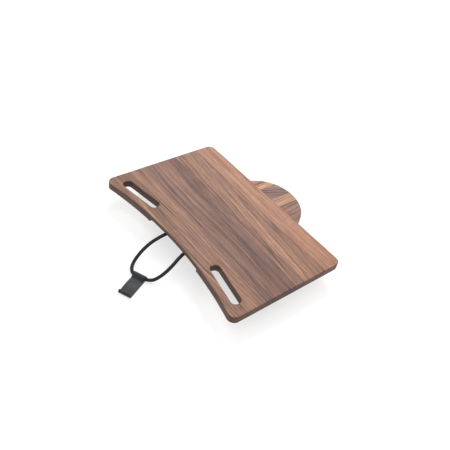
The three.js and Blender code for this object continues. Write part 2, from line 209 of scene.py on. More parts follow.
def lathe(profile, sides, place=Matrix.Identity(4)):
    """Turns a profile of (radius, height) points about Z. Points at radius 0 become poles, and a
    profile that starts off the axis closes on itself."""
    bm = bmesh.new()
    angles = [math.tau * i / sides for i in range(sides)]
    rings = []
    for radius, height in profile:
        if radius == 0:
            rings.append([bm.verts.new((0, 0, height))])
        else:
            ring = [(radius * math.cos(a), radius * math.sin(a), height) for a in angles]
            rings.append([bm.verts.new(point) for point in ring])
    pairs = list(zip(rings, rings[1:]))
    if len(rings[0]) > 1:
        pairs.append((rings[-1], rings[0]))
    for low, high in pairs:
        for i in range(sides):
            j = (i + 1) % sides
            if len(low) == 1:
                bm.faces.new((low[0], high[j], high[i]))
            elif len(high) == 1:
                bm.faces.new((low[i], low[j], high[0]))
            else:
                bm.faces.new((low[i], low[j], high[j], high[i]))
    bmesh.ops.transform(bm, matrix=place, verts=bm.verts)
    return from_bmesh(bm)


def arc(centre, radius, start, end, steps):
    """Points on an arc, angles in degrees."""
    angles = [math.radians(start + (end - start) * i / steps) for i in range(steps + 1)]
    return [(centre[0] + radius * math.cos(a), centre[1] + radius * math.sin(a)) for a in angles]


def circle(centre, radius, sides):
    return arc(centre, radius, 0, 360 - 360 / sides, sides - 1)


def rod(radius, low, high):
    """The profile of a plain round rod for lathe()."""
    return [(0, low), (radius, low), (radius, high), (0, high)]


def ring_profile(inner, outer, height, edge):
    """A washer or sleeve for lathe(), resting on z = 0, with chamfered edges."""
    bottom = [(inner, edge), (inner + edge, 0), (outer - edge, 0), (outer, edge)]
    return bottom + [(radius, height - z) for radius, z in reversed(bottom)]


def rounded_rect(width, height, radius):
    x = width / 2 - radius
    y = height / 2 - radius
    points = []
    for cx, cy, start in ((x, -y, -90), (x, y, 0), (-x, y, 90), (-x, -y, 180)):
        points += arc((cx, cy), radius, start, start + 90, CORNER_STEPS)
    return points


def inset(loop, distance):
    """The loop moved to its left by a distance, point by point."""
    moved = []
    for before, here, after in zip([loop[-1]] + loop[:-1], loop, loop[1:] + loop[:1]):
        arriving = (Vector(here) - Vector(before)).normalized()
        leaving = (Vector(after) - Vector(here)).normalized()
        normal = Vector((-arriving.y - leaving.y, arriving.x + leaving.x)).normalized()
        mitre = normal.dot(Vector((-leaving.y, leaving.x)))
        reach = distance / max(SHORTEST_MITRE, mitre)
        moved.append(Vector(here) + normal * reach)
    return moved


def plate(loops, thickness, edge, place, edge_steps=4):
    """A flat sheet with rounded edges, centred on z = 0. The loops are an outline and then any
    holes, all anticlockwise."""
    bm = bmesh.new()
    turns = [math.pi / 2 * i / edge_steps for i in range(edge_steps + 1)]
    rounding = [(edge * (1 - math.sin(t)), thickness / 2 - edge * (1 - math.cos(t))) for t in turns]
    levels = rounding + [(back, -z) for back, z in reversed(rounding)]
    caps = ([], [])
    for index, loop in enumerate(loops):
        outward = 1 if index == 0 else -1
        rings = []
        for back, z in levels:
            rings.append([bm.verts.new((x, y, z)) for x, y in inset(loop, outward * back)])
        for upper, lower in zip(rings, rings[1:]):
            for k in range(len(upper)):
                j = (k + 1) % len(upper)
                bm.faces.new((upper[k], upper[j], lower[j], lower[k]))
        for cap, ring in zip(caps, (rings[0], rings[-1])):
            cap += [bm.edges.get((ring[k - 1], ring[k])) for k in range(len(ring))]
    for cap in caps:
        bmesh.ops.triangle_fill(bm, use_beauty=True, edges=cap)
    bmesh.ops.transform(bm, matrix=place, verts=bm.verts)
    return from_bmesh(bm)


# ---- material helpers ----------------------------------------------------------------------------
class Finish:
    """One procedural material, with short names for the nodes that it is made of."""

    def __init__(self, name, **settings):
        self.material = bpy.data.materials.new(name)
        self.material.use_nodes = True
        self.tree = self.material.node_tree
        self.shader = self.tree.nodes["Principled BSDF"]
        for socket, value in settings.items():
            self.shader.inputs[socket.replace("_", " ")].default_value = value
        self.position = self.node("ShaderNodeTexCoord").outputs["Object"]

    def node(self, kind, inputs=None, **settings):
        node = self.tree.nodes.new(kind)
        for key, value in settings.items():
            setattr(node, key, value)
        for key, value in (inputs or {}).items():
            self.set(node.inputs[key], value)
        return node

    def set(self, socket, value):
        if isinstance(value, bpy.types.NodeSocket):
            self.tree.links.new(value, socket)
        else:
            socket.default_value = value

    def math(self, operation, a, b=0.0):
        return self.node("ShaderNodeMath", {0: a, 1: b}, operation=operation).outputs[0]

    def parts(self, vector):
        return self.node("ShaderNodeSeparateXYZ", {0: vector}).outputs

    def vector(self, x, y, z):
        return self.node("ShaderNodeCombineXYZ", {0: x, 1: y, 2: z}).outputs[0]

    def noise(self, vector, scale, detail, roughness, seed=None):
        inputs = {"Vector": vector, "Scale": scale, "Detail": detail, "Roughness": roughness}
        if seed is None:
            return self.node("ShaderNodeTexNoise", inputs).outputs[0]
        inputs["W"] = seed
        return self.node("ShaderNodeTexNoise", inputs, noise_dimensions="4D").outputs[0]

    def ramp(self, factor, stops, interpolation="LINEAR"):
        """Stops are (place, colour), where a colour may be one number for a grey."""
        node = self.node("ShaderNodeValToRGB", {0: factor})
        elements = node.color_ramp.elements
        node.color_ramp.interpolation = interpolation
        while len(elements) < len(stops):
            elements.new(1.0)
        for element, (place, colour) in zip(elements, stops):
            element.position = place
            element.color = colour if isinstance(colour, tuple) else (colour, colour, colour, 1)
        return node.outputs[0]

    def mix(self, factor, a, b, blend="MIX"):
        node = self.node("ShaderNodeMix", {0: factor, 6: a, 7: b}, data_type="RGBA", blend_type=blend)
        return node.outputs[2]

    def spread(self, value, low, high, to_low, to_high):
        """Maps low to high onto to_low to to_high, clamped."""
        inputs = {0: value, 1: low, 2: high, 3: to_low, 4: to_high}
        return self.node("ShaderNodeMapRange", inputs).outputs[0]

    def bump(self, height, distance, strength):
        inputs = {"Height": height, "Distance": distance, "Strength": strength}
        self.connect(Normal=self.node("ShaderNodeBump", inputs).outputs[0])

    def connect(self, **sockets):
        for socket, value in sockets.items():
            self.set(self.shader.inputs[socket.replace("_", " ")], value)


def rgb(r, g, b):
    return (r, g, b, 1)


# ---- walnut --------------------------------------------------------------------------------------
WOOD_DARK = rgb(0.082, 0.040, 0.033)
WOOD_MID = rgb(0.276, 0.150, 0.110)
WOOD_LIGHT = rgb(0.480, 0.280, 0.182)
PORE_TONE = rgb(0.050, 0.027, 0.021)
SIDE_SHADE_TONE = rgb(0.29, 0.25, 0.235)         # painted shade: side faces and routed edges darker than the top, as if less lit from above
WHITE = rgb(1, 1, 1)
SEAM_SOFTNESS = 0.0022
SEAM_SHADE = 0.55
SWAY = 0.030                               # how far, in metres, the grain wanders sideways
DEPTH_SHIFT = 0.6                          # sideways shift of the figure through the thickness
RING_COUNT = 5.0
SEED_RANGE = 40.0

# Each layer of the figure: noise cells per metre along the grain and across it, detail, roughness.
GRAIN = {
    "sway": (3.2, 11, 2, 0.5),
    "broad": (1.5, 26, 1, 0.5),
    "medium": (2.2, 95, 3, 0.6),
    "lines": (3.6, 290, 4, 0.62),
    "fibre": (17, 760, 3, 0.62),
    "rings": (0.9, 22, 1, 0.5),
    "pores": (42, 1150, 2, 0.6),
}


def walnut(name, low, planks, grain_axis, fade):
    """Edge-glued walnut. Planks run along grain_axis and are listed from low across the grain, each as
    (width in metres, lean of the grain, strength of its figure, tone), with tone multiplying the colour.
    fade is the tone that the whole piece drifts to at the high end of X."""
    f = Finish(name, Specular_IOR_Level=0.35)
    x, y, depth = f.parts(f.position)
    along, across = (x, y) if grain_axis == "x" else (y, x)
    total = sum(plank[0] for plank in planks)
    place = f.spread(across, low, low + total, 0.0, 1.0)
    starts = [sum(plank[0] for plank in planks[:i]) / total for i in range(len(planks))]

    def per_plank(values):
        return f.ramp(place, list(zip(starts, values)), "CONSTANT")

    # A ramp holds nothing below 0, so the leans go through it with 0.5 added.
    leans = f.math("SUBTRACT", per_plank([0.5 + plank[1] for plank in planks]), 0.5)
    seeds = per_plank([0.10 + 0.8 * ((0.37 * i) % 1.0) for i in range(len(planks))])
    seed = f.math("MULTIPLY", seeds, SEED_RANGE)
    figure = per_plank([plank[2] for plank in planks])
    tone = per_plank([rgb(*plank[3]) for plank in planks])

    def layer(sideways, kind):
        cells_along, cells_across, detail, roughness = GRAIN[kind]
        u = f.math("MULTIPLY", along, cells_along)
        v = f.math("MULTIPLY", sideways, cells_across)
        return f.noise(f.vector(u, v, depth), 1, detail, roughness, seed)

    def swing(value, half_range, strength):
        """The middle of a noise, widened to run from -strength to strength."""
        return f.spread(value, 0.5 - half_range, 0.5 + half_range, -strength, strength)

    sway = f.math("MULTIPLY", f.math("SUBTRACT", layer(across, "sway"), 0.5), SWAY)
    flow = f.math("ADD", f.math("ADD", across, f.math("MULTIPLY", leans, along)), sway)
    flow = f.math("ADD", flow, f.math("MULTIPLY", depth, DEPTH_SHIFT))
    broad = layer(flow, "broad")
    lines = layer(flow, "lines")
    fibre = layer(flow, "fibre")
    rings = f.math("PINGPONG", f.math("MULTIPLY", layer(flow, "rings"), RING_COUNT), 0.5)
    late = f.ramp(rings, [(0.0, 1.0), (0.035, 0.55), (0.10, 0.10), (0.30, 0.0)])
    late = f.math("MULTIPLY", late, f.spread(broad, 0.42, 0.60, 0.2, 1.0))
    pores = f.ramp(layer(flow, "pores"), [(0.0, 0.0), (0.56, 0.0), (0.66, 1.0)])

    shade = f.math("ADD", swing(broad, 0.20, 0.18), swing(layer(flow, "medium"), 0.20, 0.24))
    shade = f.math("ADD", shade, swing(lines, 0.16, 0.38))
    shade = f.math("SUBTRACT", shade, f.math("MULTIPLY", late, 0.50))
    shade = f.math("ADD", f.math("MULTIPLY", shade, figure), swing(fibre, 0.14, 0.24))
    tones = [(0.0, WOOD_DARK), (0.5, WOOD_MID), (1.0, WOOD_LIGHT)]
    colour = f.ramp(f.math("ADD", shade, 0.5), tones)

    seams = [(0.0, 1.0)]
    for start in starts[1:]:
        seams += [(start - SEAM_SOFTNESS, 1.0), (start, SEAM_SHADE), (start + SEAM_SOFTNESS, 1.0)]
    drift = f.mix(f.spread(x, BOARD_LOW.x, BOARD_HIGH.x, 0.0, 1.0), WHITE, rgb(*fade))
    # painted shade: the more a face turns away from straight up, the darker its colour, so sides and
    # edges read as less lit
    facing_up = f.math("ABSOLUTE", f.parts(f.node("ShaderNodeTexCoord").outputs["Normal"])[2])
    edge = f.ramp(facing_up, [(0.20, SIDE_SHADE_TONE), (0.92, WHITE)])
    for layer_tone in (tone, drift, f.ramp(place, seams), edge):
        colour = f.mix(1.0, colour, layer_tone, "MULTIPLY")
    colour = f.mix(f.math("MULTIPLY", pores, 0.50), colour, PORE_TONE)
    f.connect(Base_Color=colour, Roughness=f.spread(lines, 0.3, 0.7, 0.46, 0.58))
    f.bump(f.math("SUBTRACT", f.math("MULTIPLY", fibre, 0.4), pores), 0.00012, 0.5)
    return f.material


BOARD_PLANKS = [
    (0.112, -0.02, 0.90, (0.84, 0.82, 0.76)),
    (0.1375, 0.02, 1.00, (0.66, 0.64, 0.67)),
    (0.081, 0.10, 0.75, (0.93, 0.91, 0.86)),
    (0.0665, 0.01, 0.42, (1.26, 1.20, 1.10)),
]
TRAY_STRIPS = [
    (0.027, 0.02, 0.7, (1.27, 1.19, 1.04)),
    (0.008, 0.0, 0.8, (0.71, 0.78, 0.90)),
    (0.009, -0.04, 0.8, (1.45, 1.36, 1.18)),
    (0.0125, 0.05, 0.8, (2.10, 2.20, 1.55)),
    (0.0545, -0.42, 1.0, (0.88, 0.94, 1.06)),
    (0.035, 0.0, 0.8, (1.23, 1.18, 1.04)),
    (0.052, 0.06, 0.8, (0.76, 0.76, 0.82)),
    (0.038, 0.0, 1.0, (0.96, 0.97, 0.98)),
]
BOARD_FRONT = BOARD_HIGH.y - BOARD_DEPTH
BOARD_WALNUT = walnut("walnut board", BOARD_FRONT, BOARD_PLANKS, "x", (0.95, 0.87, 0.81))
TRAY_WALNUT = walnut("walnut tray", TRAY_LOW.x, TRAY_STRIPS, "y", (1.0, 1.0, 1.0))


# ---- other finishes ------------------------------------------------------------------------------
def mottled(f, dark, light, cell_count):
    """A colour that drifts between two tones, with this many noise cells in a metre."""
    return f.ramp(f.noise(f.position, cell_count, 2, 0.5), [(0.3, dark), (0.7, light)])


def powder_coat():
    f = Finish("black powder coat", Specular_IOR_Level=0.5)
    grain = f.noise(f.position, 2600, 2, 0.5)
    f.connect(
        Base_Color=mottled(f, rgb(0.016, 0.016, 0.018), rgb(0.026, 0.026, 0.029), 45),
        Roughness=f.spread(grain, 0.3, 0.7, 0.38, 0.56),
    )
    f.bump(grain, 0.00006, 0.6)
    return f.material


def plated_metal(name, dark, light):
    """Bright metal with fine marks that run round its upright axis."""
    f = Finish(name, Metallic=1.0)
    cells_per_metre = (400, 400, 3000)
    axes = zip(f.parts(f.position), cells_per_metre)
    marks = f.vector(*(f.math("MULTIPLY", axis, cells) for axis, cells in axes))
    scratch = f.noise(marks, 1, 3, 0.6)
    f.connect(
        Base_Color=mottled(f, dark, light, 160),
        Roughness=f.spread(scratch, 0.3, 0.7, 0.24, 0.42),
    )
    f.bump(scratch, 0.00002, 0.5)
    return f.material


def moulded(name, dark, light, roughness, grain_cells, grain_depth):
    """Rubber, foam or nylon: an even colour with a fine cast texture."""
    f = Finish(name, Specular_IOR_Level=0.30)
    grain = f.noise(f.position, grain_cells, 3, 0.55)
    f.connect(
        Base_Color=mottled(f, dark, light, 60),
        Roughness=f.spread(grain, 0.3, 0.7, roughness - 0.07, roughness + 0.07),
    )
    f.bump(grain, grain_depth, 0.6)
    return f.material


YARN_DARK = rgb(0.004, 0.004, 0.0045)
YARN_LIGHT = rgb(0.014, 0.014, 0.015)


def braid_finish():
    f = Finish("braided sheath", Sheen_Weight=0.06, Sheen_Roughness=0.4, Specular_IOR_Level=0.25)
    yarn = f.noise(f.position, 3200, 2, 0.6)
    f.connect(
        Base_Color=f.ramp(yarn, [(0.3, YARN_DARK), (0.7, YARN_LIGHT)]),
        Roughness=f.spread(yarn, 0.3, 0.7, 0.45, 0.65),
    )
    f.bump(yarn, 0.00005, 0.6)
    return f.material


BLACK_STEEL = powder_coat()
ZINC = plated_metal("zinc plate", dark=rgb(0.52, 0.53, 0.56), light=rgb(0.66, 0.67, 0.69))
BRASS = plated_metal("brass", dark=rgb(0.54, 0.37, 0.15), light=rgb(0.66, 0.47, 0.20))
RUBBER = moulded(
    "black rubber", dark=rgb(0.013, 0.013, 0.014), light=rgb(0.022, 0.022, 0.024),
    roughness=0.62, grain_cells=1800, grain_depth=0.00005,
)
STRAP_RUBBER = moulded(
    "strap rubber", dark=rgb(0.014, 0.0148, 0.0162), light=rgb(0.022, 0.0233, 0.0255),
    roughness=0.40, grain_cells=1600, grain_depth=0.00004,
)
FOAM = moulded(
    "closed-cell foam", dark=rgb(0.018, 0.018, 0.020), light=rgb(0.032, 0.032, 0.035),
    roughness=0.86, grain_cells=900, grain_depth=0.00022,
)
NYLON = moulded(
    "nylon", dark=rgb(0.60, 0.58, 0.52), light=rgb(0.70, 0.68, 0.62),
    roughness=0.42, grain_cells=900, grain_depth=0.00003,
)
BRAID = braid_finish()


# ---- elastic cord --------------------------------------------------------------------------------
CORD_STEP = 0.00055                        # along the cord, between the rings of its mesh
CORD_SIDES = 32
BRAID_STRANDS = 8
BRAID_PITCH = 0.022
BRAID_DEPTH = 0.00042
BRAID_FULLNESS = 0.7                       # below 1 the strands are fuller, with sharp valleys


def smooth_path(points, step):
    """A centripetal Catmull-Rom curve through the points, cut into pieces of about one step."""
    ends = [points[0] * 2 - points[1]] + list(points) + [points[-1] * 2 - points[-2]]
    path = []
    for p0, p1, p2, p3 in zip(ends, ends[1:], ends[2:], ends[3:]):
        t1 = (p1 - p0).length ** 0.5
        t2 = t1 + (p2 - p1).length ** 0.5
        t3 = t2 + (p3 - p2).length ** 0.5
        count = max(2, round((p2 - p1).length / step))
        for i in range(count):
            t = t1 + (t2 - t1) * i / count
            share = (t - t1) / (t2 - t1)
            a1 = p0.lerp(p1, t / t1)
            a2 = p1.lerp(p2, share)
            a3 = p2.lerp(p3, (t - t2) / (t3 - t2))
            b1 = a1.lerp(a2, t / t2)
            b2 = a2.lerp(a3, (t - t1) / (t3 - t1))
            path.append(b1.lerp(b2, share))
    return path + [points[-1]]


def braid_height(angle, run):
    """Relief of a tubular braid, from 0 to 1: two families of strands that cross over and under."""
    turn = math.tau * run / BRAID_PITCH
    first = BRAID_STRANDS / 2 * (angle + turn)
    second = BRAID_STRANDS / 2 * (angle - turn)
    over = math.sin((first + second) / 2) * math.sin((first - second) / 2)
    crown_first = abs(math.cos(first / 2))
    crown_second = abs(math.cos(second / 2))
    return (crown_first if over > 0 else crown_second) ** BRAID_FULLNESS


def braided_tube(path, radius):
    bm = bmesh.new()
    normal = Vector((0, 0, 1))
    rings = []
    run = 0.0
    for i, point in enumerate(path):
        ahead = (path[min(i + 1, len(path) - 1)] - path[max(i - 1, 0)]).normalized()
        normal = (normal - ahead * normal.dot(ahead)).normalized()
        side = ahead.cross(normal)
        ring = []
        for k in range(CORD_SIDES):
            angle = math.tau * k / CORD_SIDES
            reach = radius - BRAID_DEPTH * (1 - braid_height(angle, run))
            outward = normal * math.cos(angle) + side * math.sin(angle)
            ring.append(bm.verts.new(point + outward * reach))
        rings.append(ring)
        if i + 1 < len(path):
            run += (path[i + 1] - point).length
    for low, high in zip(rings, rings[1:]):
        for k in range(CORD_SIDES):
            j = (k + 1) % CORD_SIDES
            bm.faces.new((low[k], low[j], high[j], high[k]))
    bm.faces.new(rings[0])
    bm.faces.new(rings[-1])
    return from_bmesh(bm)


cord_path = smooth_path(CORD_ROUTE, CORD_STEP)
cord_mesh = braided_tube(cord_path, CORD_DIAMETER / 2)
elastic = add_part(
    "elastic_cord", cord_mesh, BRAID,
    smooth=0, name="elastic_cord_braid",
)


# ---- hook strap ----------------------------------------------------------------------------------
STRAP_HEADING = math.radians(-64.7)
STRAP_WIDTH = 0.038
STRAP_REACH = 0.070                        # from the eye to the middle of the lip
STRAP_EDGE = 0.0010
EYE_RADIUS = 0.0062
BARREL_OUTSIDE = 0.0075
LIP_RADIUS = 0.0058
LIP_HOLLOW = 0.0021
LIP_TIP = 0.0019


def strap_mesh():
    """The strap's side view, eye at the left and curled lip at the right, extruded to its width."""
    floor = -BARREL_OUTSIDE
    lip = (STRAP_REACH, floor + LIP_RADIUS)
    tip = (STRAP_REACH + 0.0001, lip[1] + LIP_RADIUS - LIP_TIP)
    outline = [(-0.0030, floor + 0.0005), (0.004, floor), (STRAP_REACH - 0.004, floor)]
    outline += arc(lip, LIP_RADIUS, -80, 88, 16)
    outline += arc(tip, LIP_TIP, 95, 262, 7)
    outline += arc(lip, LIP_HOLLOW, 85, -85, 8)
    before_lip = ((0.008, 0.0039), (0.014, 0.0044), (0.024, 0.0060))
    outline += [(STRAP_REACH - back, floor + height) for back, height in before_lip]
    behind_eye = ((0.032, 0.0061), (0.022, 0.0047), (0.0145, 0.0042))
    outline += [(along, floor + height) for along, height in behind_eye]
    outline += arc((0.0125, floor + 0.0064), 0.0022, -85, -150, 4)
    outline += arc((0, 0), BARREL_OUTSIDE, 12, 222, 22)
    stand = Matrix.Translation(STRAP_EYE) @ Matrix.Rotation(STRAP_HEADING, 4, "Z") @ UPRIGHT
    return plate([outline, circle((0, 0), EYE_RADIUS, 24)], STRAP_WIDTH, STRAP_EDGE, stand)


strap = add_part("strap_hook", strap_mesh(), STRAP_RUBBER, name="strap_hook_moulding")


# ---- board ---------------------------------------------------------------------------------------
def board_outline():
    """Straight sides and back, and one concave arc along the front, with round corners."""
    x = (BOARD_HIGH.x - BOARD_LOW.x) / 2
    y = BOARD_DEPTH / 2
    r = BOARD_CORNER
    arc_radius = (x * x + FRONT_SAG * FRONT_SAG) / (2 * FRONT_SAG)
    arc_y = -y + FRONT_SAG - arc_radius
    corner_x = x - r
    corner_y = arc_y + math.sqrt((arc_radius + r) ** 2 - corner_x ** 2)
    touch = math.degrees(math.atan2(arc_y - corner_y, -corner_x))
    edge = math.degrees(math.atan2(corner_y - arc_y, corner_x))
    points = arc((corner_x, corner_y), r, touch, 0, 18)
    points += arc((x - r, y - r), r, 0, 90, 16)
    points += arc((-x + r, y - r), r, 90, 180, 16)
    points += arc((-corner_x, corner_y), r, 180, 180 - touch, 18)
    points += arc((0, arc_y), arc_radius, 180 - edge, edge, 90)[1:-1]
    return points


def turned(points, angle, shift):
    spin = Matrix.Rotation(angle, 2)
    return [tuple(spin @ Vector(p) + Vector(shift)) for p in points]


def slot_loop(side):
    loop = rounded_rect(*SLOT_SIZE, SLOT_CORNER)
    return turned(loop, -side * SLOT_TILT, (side * SLOT_PLACE[0], SLOT_PLACE[1] - BOARD_CENTRE.y))


def board_mesh():
    middle = BOARD_CENTRE + Vector((0, 0, (BOARD_LOW.z + BOARD_HIGH.z) / 2))
    loops = [board_outline(), slot_loop(1), slot_loop(-1)]
    slab = plate(loops, BOARD_THICK, EDGE_ROUND, Matrix.Translation(middle))
    half = CHANNEL_WIDTH / 2
    channel_low = (-half, BOARD_LOW.y - 5 * OVERSHOOT, BOARD_LOW.z - OVERSHOOT)
    channel_high = (half, CHANNEL_BACK, BOARD_LOW.z + CHANNEL_DEPTH)
    return combine(slab, [box_mesh(channel_low, channel_high)])


add_part(
    "top_board", board_mesh(), BOARD_WALNUT,
    bevel=0.0006, smooth=35, name="walnut_board",
)


# ---- swing-out tray and its pivot ----------------------------------------------------------------
TRAY_EDGE = 0.0025
TRAY_SIDES = 144
BUSH_HOLE = 0.0063
COUNTERBORE_RADIUS = 0.015
COUNTERBORE_DEPTH = 0.006
BOLT_HEAD = 0.009
BOLT_HEAD_HEIGHT = 0.0035
BOLT_SHANK = 0.004
BOLT_SOCKET = 0.0029
BOLT_SOCKET_DEPTH = 0.0022
AT_PIVOT = Matrix.Translation((PIVOT.x, PIVOT.y, 0))


def tray_mesh():
    rim = circle((0, 0), TRAY_RADIUS, TRAY_SIDES)
    thick = TRAY_HIGH.z - TRAY_LOW.z
    disc = plate([rim], thick, TRAY_EDGE, Matrix.Translation(TRAY_CENTRE), edge_steps=5)
    low = TRAY_LOW.z - OVERSHOOT
    hole = lathe(rod(BUSH_HOLE, low, TRAY_HIGH.z + OVERSHOOT), 48, AT_PIVOT)
    seat = lathe(rod(COUNTERBORE_RADIUS, low, TRAY_LOW.z + COUNTERBORE_DEPTH), 64, AT_PIVOT)
    return combine(disc, [hole, seat])


def bolt_mesh():
    """A pivot bolt with a domed head and a hexagon socket, head down."""
    low, top = BOLT_LOW.z, BOLT_HIGH.z
    head, shank = BOLT_HEAD, BOLT_SHANK
    neck = low + BOLT_HEAD_HEIGHT
    profile = [(0, low), (head * 0.55, low), (head * 0.85, low + 0.0006), (head, low + 0.0018)]
    profile += [(head, neck - 0.0004), (head - 0.0004, neck), (shank, neck)]
    profile += [(shank, top - 0.0008), (shank - 0.0008, top), (0, top)]
    socket = lathe(rod(BOLT_SOCKET, low - 0.001, low + BOLT_SOCKET_DEPTH), 6, AT_PIVOT)
    return combine(lathe(profile, 64, AT_PIVOT), [socket])


def add_ring(node, inner, edge, material, body="board", axis="z"):
    """A washer, bush or sleeve that fills the box of its CAD node."""
    size = span_of(node)
    outer, height = {"z": (size.x / 2, size.z), "x": (size.y / 2, size.x)}[axis]
    turn = {"z": Matrix.Identity(4), "x": ALONG_X}[axis]
    place = Matrix.Translation(middle_of(node)) @ turn @ Matrix.Translation((0, 0, -height / 2))
    ring = lathe(ring_profile(inner, outer, height, edge), 64, place)
    return add_part(node, ring, material, body)


add_part(
    "swing_tray", tray_mesh(), TRAY_WALNUT, "tray",
    bevel=0.0005, name="walnut_tray",
)
add_part("tray_pivot_bolt", bolt_mesh(), ZINC)
add_ring("tray_threaded_insert", 0.0044, 0.0004, BRASS)
add_ring("tray_bush", 0.0044, 0.0004, BRASS, "tray")
add_ring("tray_glide_washer", 0.0045, 0.0003, NYLON)
add_ring("tray_retaining_washer", 0.0044, 0.0003, ZINC)


# ---- rubber feet, stop bumper and strap peg ------------------------------------------------------
FOOT_WELL = 0.005
FOOT_WELL_DEPTH = 0.010
FOOT_SCREW_HOLE = 0.0023


def on_base(node):
    """A matrix that stands a lathe() profile on the bottom of a CAD node."""
    return Matrix.Translation(middle_of(node) - Vector((0, 0, span_of(node).z / 2)))


def foot_mesh(node):
    """A tapered bumper foot with a rolled tread edge and a screw well."""
    size = span_of(node)
    radius, height = size.x / 2, size.z
    tread = [(FOOT_WELL, 0.0008), (FOOT_WELL + 0.0008, 0), (radius * 0.80, 0)]
    wall = [(radius * 0.90, 0.0007), (radius * 0.94, 0.0022), (radius * 0.95, height * 0.7)]
    wall.append((radius, height - 0.003))
    top = [(radius, height - 0.0006), (radius - 0.0006, height), (FOOT_SCREW_HOLE, height)]
    well = [(FOOT_SCREW_HOLE, FOOT_WELL_DEPTH), (FOOT_WELL, FOOT_WELL_DEPTH)]
    return lathe(tread + wall + top + well, 56, on_base(node))


def peg_mesh(node, neck, head_share):
    """A rubber post with a mushroom end that hangs below the board."""
    size = span_of(node)
    radius, height = size.x / 2, size.z
    head = height * head_share
    dome = [(0, 0), (radius * 0.5, 0.0003), (radius * 0.85, 0.0012), (radius, head * 0.55)]
    stem = [(radius * 0.97, head * 0.85), (neck, head), (neck, height - 0.0026)]
    flange = [(radius, height - 0.0012), (radius, height), (0, height)]
    return lathe(dome + stem + flange, 48, on_base(node))


FOOT_CORNERS = [f"{end}_{side}" for end in ("front", "rear") for side in ("left", "right")]
for corner in FOOT_CORNERS:
    add_part(f"foot_{corner}", foot_mesh(f"foot_{corner}"), RUBBER)
add_part("strap_peg", peg_mesh("strap_peg", 0.0048, 0.35), RUBBER)
add_part("tray_stop_bumper", peg_mesh("tray_stop_bumper", 0.0060, 0.48), RUBBER)


# ---- screws --------------------------------------------------------------------------------------
CROSS_WIDTH = 0.0011
CROSS_DEPTH = 0.0013
THREAD_PITCH = 0.0018
THREAD_DEPTH = 0.0006
SCREW_SHANK = 0.0020
SCREW_POINT = 0.003


def screw_mesh(head_radius, head_height, tip):
    """A pan-head wood screw with a cross recess, head down on z = 0 and tip up."""
    profile = [(0, 0), (head_radius * 0.5, 0), (head_radius * 0.86, 0.0004), (head_radius, 0.0012)]
    profile += [(head_radius, head_height - 0.0002), (head_radius - 0.0002, head_height)]
    core = SCREW_SHANK - THREAD_DEPTH
    height = head_height
    profile.append((core, height))
    while height + THREAD_PITCH < tip - SCREW_POINT:
        profile += [(core, height + THREAD_PITCH * 0.5), (SCREW_SHANK, height + THREAD_PITCH * 0.75)]
        height += THREAD_PITCH
        profile.append((core, height))
    profile.append((0, tip))
    arms = []
    for x, y in ((head_radius * 0.62, CROSS_WIDTH / 2), (CROSS_WIDTH / 2, head_radius * 0.62)):
        arms.append(box_mesh((-x, -y, -0.001), (x, y, CROSS_DEPTH)))
    return combine(lathe(profile, 32), arms)


def add_screws(nodes, head_radius, head_height):
    """One screw mesh, copied to the place of each CAD screw."""
    shape = screw_mesh(head_radius, head_height, span_of(nodes[0]).z)
    for node in nodes:
        copy = shape.copy()
        copy.transform(on_base(node))
        add_part(node, copy, ZINC)
    bpy.data.meshes.remove(shape)


PLATE_SCREWS = [f"plate_screw_{i}" for i in range(1, 10)]
add_screws(PLATE_SCREWS, 0.0040, 0.0021)
add_screws([f"foot_screw_{corner}" for corner in FOOT_CORNERS], 0.0042, 0.0027)


# ---- saddle plate --------------------------------------------------------------------------------
PLATE_CORNER = 0.008
PLATE_HOLE = 0.0024


def saddle_mesh():
    size = PLATE_HIGH - PLATE_LOW
    middle = (PLATE_HIGH + PLATE_LOW) / 2
    loops = [rounded_rect(size.x, size.y, PLATE_CORNER)]
    for node in PLATE_SCREWS:
        place = middle_of(node) - middle
        loops.append(circle((place.x, place.y), PLATE_HOLE, 24))
    return plate(loops, size.z, 0.0005, Matrix.Translation(middle), edge_steps=2)


add_part("saddle_plate", saddle_mesh(), BLACK_STEEL)


# ---- folding jaws --------------------------------------------------------------------------------
JAW_THICK = 0.004
JAW_CORNER = 0.026
JAW_EDGE = 0.0006
TRIM_WALL = 0.003
TRIM_HEIGHT = 0.011
BARREL_RADIUS = 0.006
PIN_HOLE = 0.0034
GAP = 0.0003


def jaw_outline(half_width, bottom, corner, top):
    outline = arc((-half_width + corner, bottom + corner), corner, 180, 270, 12)
    outline += arc((half_width - corner, bottom + corner), corner, 270, 360, 12)
    return outline + [(half_width, top), (-half_width, top)]


def jaw_mesh(node, hinge):
    """A steel blade that is curled round its hinge pin along the top."""
    half = span_of(node).x / 2
    outline = jaw_outline(half, TRIM_WALL + GAP, JAW_CORNER, hinge.z - BARREL_RADIUS * 0.4)
    stand = Matrix.Translation((0, hinge.y, 0)) @ UPRIGHT
    blade = plate([outline], JAW_THICK, JAW_EDGE, stand, edge_steps=2)
    profile = ring_profile(PIN_HOLE, BARREL_RADIUS, half * 2, JAW_EDGE)
    barrel = lathe(profile, 40, Matrix.Translation((-half, hinge.y, hinge.z)) @ ALONG_X)
    return combine(blade, [barrel], "UNION")


def trim_mesh(node, hinge):
    """A U-shaped rubber edge strip that is pushed onto the blade's lower edge."""
    size = span_of(node)
    half = size.x / 2
    stand = Matrix.Translation((0, hinge.y, 0)) @ UPRIGHT
    outer_outline = jaw_outline(half, 0, JAW_CORNER + TRIM_WALL, 0.05)
    outer = plate([outer_outline], size.y, 0.0022, stand)
    inner_outline = jaw_outline(half - TRIM_WALL + GAP, TRIM_WALL, JAW_CORNER + GAP, 0.06)
    inner = plate([inner_outline], JAW_THICK + 2 * GAP, 0.0004, stand, edge_steps=1)
    above_low = (-half - OVERSHOOT, hinge.y - OVERSHOOT, TRIM_HEIGHT)
    above_high = (half + OVERSHOOT, hinge.y + OVERSHOOT, 0.07)
    return combine(outer, [inner, box_mesh(above_low, above_high)])


